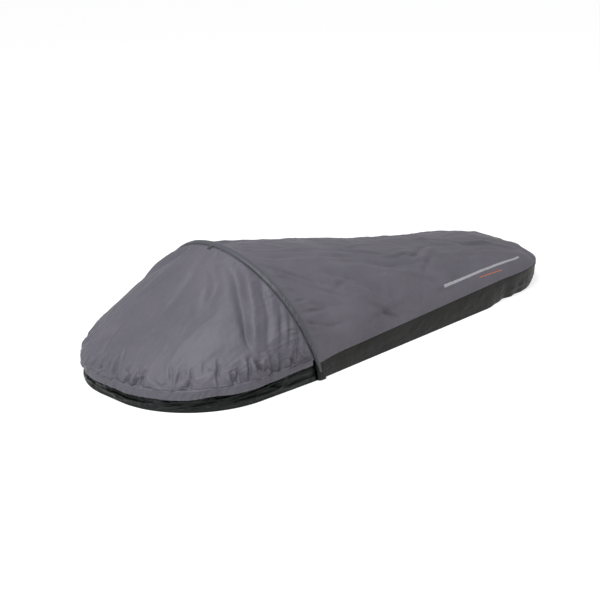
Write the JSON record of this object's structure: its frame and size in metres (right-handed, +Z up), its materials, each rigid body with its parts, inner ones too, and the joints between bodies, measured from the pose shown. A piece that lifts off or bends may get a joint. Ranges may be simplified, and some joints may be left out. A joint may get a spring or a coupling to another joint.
{
  "type": "bivy sack",
  "caption": "One-person hooped bivy sack: grey shell over a dark tub floor, one bent pole in a sleeve, and a storm hood that zips round the head end.",
  "frame": {"origin": "middle of the bag's length and width, on the ground", "axes": "+X towards the foot end, -X the head end, +Z up"},
  "size_m": [2.103, 0.818, 0.4545],
  "materials": {
    "shell_cloth": "satin coated nylon",
    "floor_cloth": "coated nylon, slight gloss",
    "sleeve_cloth": "plain nylon",
    "webbing": "woven webbing",
    "pole_alloy": "satin anodised",
    "ferrule_alloy": "satin",
    "elastic": "braided",
    "tip_plastic": "matte",
    "zip_tape": "woven tape",
    "zip_coil": "nylon coil",
    "zip_metal": "black paint",
    "puller_plastic": "moulded grip"
  },
  "bodies": {
    "bag": {"groundsheet": "floor_cloth", "head_wall": "floor_cloth", "side_wall_right": "floor_cloth", "side_wall_left": "floor_cloth", "foot_wall": "floor_cloth", "top_panel": "shell_cloth", "foot_panel": "shell_cloth", "pole_section_1": "pole_alloy", "pole_section_2": "pole_alloy", "pole_section_3": "pole_alloy", "pole_section_4": "pole_alloy", "pole_ferrule_1": "ferrule_alloy", "pole_ferrule_2": "ferrule_alloy", "pole_ferrule_3": "ferrule_alloy", "shock_cord": "elastic", "pole_tip_right": "tip_plastic", "pole_tip_left": "tip_plastic", "pole_pocket_right": "webbing", "pole_pocket_left": "webbing", "pole_sleeve": "sleeve_cloth", "crown_tab": "webbing", "zip_tape_lower": "zip_tape", "zip_coil_lower": "zip_coil", "zip_stops": "zip_metal"},
    "storm_hood": {"hood_panel": "shell_cloth", "storm_flap": "shell_cloth", "zip_tape_upper": "zip_tape", "zip_coil_upper": "zip_coil"},
    "slider": {"zip_slider": "zip_metal"},
    "puller": {"zip_puller": "puller_plastic"}
  },
  "joints": [
    {"name": "hood_open", "type": "hinge", "parent": "bag", "child": "storm_hood", "pos_m": [-0.395, 0, 0], "axis": [0, 1, 0], "range_deg": [0, 145], "deforming": ["hood_panel", "storm_flap"]},
    {"name": "slider_travel", "type": "hinge", "parent": "bag", "child": "slider", "pos_m": [-0.709, 0.06, 0.074], "axis": [0, 0, 1], "range_deg": [-52, 4]},
    {"name": "puller_swing", "type": "hinge", "parent": "slider", "child": "puller", "pos_m": [-1.03502, 0.14129, 0.0765], "axis": [0.2419, 0.9703, 0], "range_deg": [0, 7]}
  ]
}
